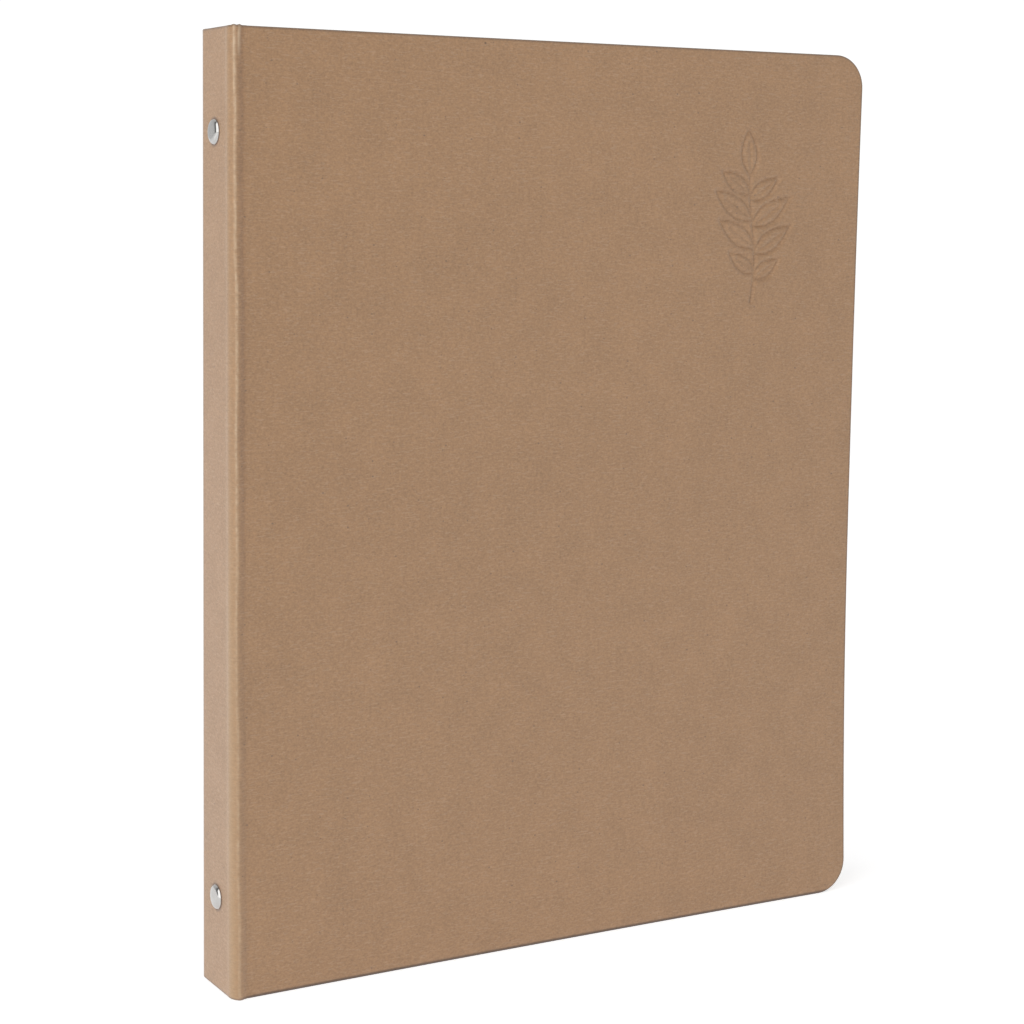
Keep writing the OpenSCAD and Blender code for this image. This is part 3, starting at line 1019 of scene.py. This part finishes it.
class ALBUM_OT_stage(bpy.types.Operator):
    """Sets up the pale floor, the soft studio light and the camera"""

    bl_idname = "album.stage"
    bl_label = "Stage"

    def execute(self, context):
        stage = context.scene.album_stage
        self.floor(stage)
        self.room(context.scene, stage)
        target = Vector((SPINE_X, 0.0, SHEET_H / 2))
        self.softbox("key_softbox", target, *KEY_SOFTBOX, stage.key_power)
        self.softbox("side_softbox", target, *SIDE_SOFTBOX, stage.rim_power)
        self.camera(context.scene, stage)
        context.scene.view_settings.view_transform = "Standard"
        return {"FINISHED"}

    @staticmethod
    def floor(stage):
        """A plain pale floor, just under the album's foot."""
        half = stage.floor_size / 2
        corners = ((-half, -half), (half, -half), (half, half), (-half, half))
        points = np.array([(x, y, -0.05 * MM) for x, y in corners])
        floor = make_piece("floor", points, [np.array([[0, 1, 2, 3]])])
        material, tree, shader = new_material("pale_floor", tuple(stage.floor_colour))
        set_inputs(tree, shader, {
            "Base Color": (*stage.floor_colour, 1.0),
            "Roughness": 0.9,
            "Specular IOR Level": 0.1,
            "Emission Color": (1.0, 1.0, 1.0, 1.0),
            "Emission Strength": stage.floor_glow,
        })
        floor.data.materials.append(material)

    @staticmethod
    def room(scene, stage):
        """Light from all round, brighter towards the front left, with panels for metal to mirror.

        The camera sees a plain white backdrop instead.
        """
        world = bpy.data.worlds.new("studio")
        world.use_nodes = True
        tree = world.node_tree
        tree.nodes.clear()
        heading = add_node(tree, "ShaderNodeTexCoord").outputs["Generated"]
        toward = add_node(tree, "ShaderNodeVectorMath", {0: heading, 1: ROOM_FRONT},
                          operation="DOT_PRODUCT").outputs["Value"]
        level = times(tree, remap(tree, toward, -0.4, 0.9, 0.75, 1.35), stage.sky_strength)
        axes = add_node(tree, "ShaderNodeSeparateXYZ", {0: heading})
        turned = calculate(tree, "ARCTAN2", times(tree, axes.outputs["X"], -1.0), axes.outputs["Y"])
        ramp = add_node(tree, "ShaderNodeValToRGB", {"Fac": remap(tree, turned, -math.pi, math.pi)})
        for place, grey in ROOM_PANELS:
            stop = ramp.color_ramp.elements.new((place + 180) / 360)
            stop.color = (grey, grey, grey, 1.0)
        for unused in (0, -1):
            ramp.color_ramp.elements.remove(ramp.color_ramp.elements[unused])
        mirrored = times(tree, ramp.outputs["Color"], stage.panel_strength)
        ray = add_node(tree, "ShaderNodeLightPath").outputs
        level = add_node(tree, "ShaderNodeMix", {0: ray["Is Glossy Ray"], 2: level, 3: mirrored}).outputs[0]
        white = (1.0, 1.0, 1.0, 1.0)
        lit, backdrop = (
            add_node(tree, "ShaderNodeBackground", {"Color": white, "Strength": strength}).outputs[0]
            for strength in (level, BACKDROP)
        )
        mixed = add_node(tree, "ShaderNodeMixShader", {0: ray["Is Camera Ray"], 1: lit, 2: backdrop})
        add_node(tree, "ShaderNodeOutputWorld", {"Surface": mixed.outputs[0]})
        scene.world = world

    @staticmethod
    def softbox(name, target, place, size, power):
        """A square area light that faces the target."""
        light = bpy.data.lights.new(name, "AREA")
        light.shape = "SQUARE"
        light.size = size
        light.energy = power
        lamp = bpy.data.objects.new(name, light)
        lamp.location = place
        lamp.visible_glossy = False
        lamp.rotation_euler = (target - Vector(place)).to_track_quat("-Z", "Y").to_euler()
        bpy.context.scene.collection.objects.link(lamp)

    @staticmethod
    def camera(scene, stage):
        """A camera turned by yaw, pitch and roll, in that order, with a small vertical shift."""
        yaw, pitch, roll = stage.camera_yaw, stage.camera_pitch, stage.camera_roll
        forward = Vector((math.sin(yaw) * math.cos(pitch), math.cos(yaw) * math.cos(pitch), -math.sin(pitch)))
        right = Vector((math.cos(yaw), -math.sin(yaw), 0.0))
        down = forward.cross(right)
        turned_right = math.cos(roll) * right + math.sin(roll) * down
        turned_down = math.cos(roll) * down - math.sin(roll) * right
        camera = bpy.data.objects.new("camera", bpy.data.cameras.new("camera"))
        columns = Matrix((turned_right, -turned_down, -forward)).transposed()
        camera.matrix_world = Matrix.Translation(stage.camera_place) @ columns.to_4x4()
        camera.data.lens = stage.camera_lens
        camera.data.shift_y = stage.camera_shift
        camera.data.clip_start = 0.01
        scene.collection.objects.link(camera)
        scene.camera = camera


class ALBUM_PT_panel(bpy.types.Panel):
    """Lists the album's pieces in the order they are made"""

    bl_idname = "ALBUM_PT_panel"
    bl_label = "Scrapbook Album"
    bl_space_type = "VIEW_3D"
    bl_region_type = "UI"
    bl_category = "Album"

    def draw(self, context):
        for step in STEPS:
            self.layout.operator(step.bl_idname)
        for name, _ in SETTINGS:
            box = self.layout.box()
            group = getattr(context.scene, name)
            for key in group.bl_rna.properties.keys():
                if key not in ("rna_type", "name"):
                    box.prop(group, key)


SETTINGS = (("album_board", AlbumBoardSettings), ("album_leaf", AlbumLeafSettings),
            ("album_metal", AlbumMetalSettings), ("album_stage", AlbumStageSettings))
STEPS = (ALBUM_OT_stage, ALBUM_OT_front_wrap, ALBUM_OT_back_wrap, ALBUM_OT_rivets, ALBUM_OT_leaves,
         ALBUM_OT_mechanism)


def register():
    for name, group in SETTINGS:
        bpy.utils.register_class(group)
        setattr(bpy.types.Scene, name, PointerProperty(type=group))
    for step in STEPS:
        bpy.utils.register_class(step)
    bpy.utils.register_class(ALBUM_PT_panel)


def unregister():
    bpy.utils.unregister_class(ALBUM_PT_panel)
    for step in reversed(STEPS):
        bpy.utils.unregister_class(step)
    for name, group in reversed(SETTINGS):
        delattr(bpy.types.Scene, name)
        bpy.utils.unregister_class(group)


def main():
    register()
    bpy.ops.album.stage()
    bpy.ops.album.front_wrap()
    bpy.ops.album.back_wrap()
    bpy.ops.album.rivets()
    bpy.ops.album.leaves()
    bpy.ops.album.mechanism()


if __name__ == "__main__":
    main()
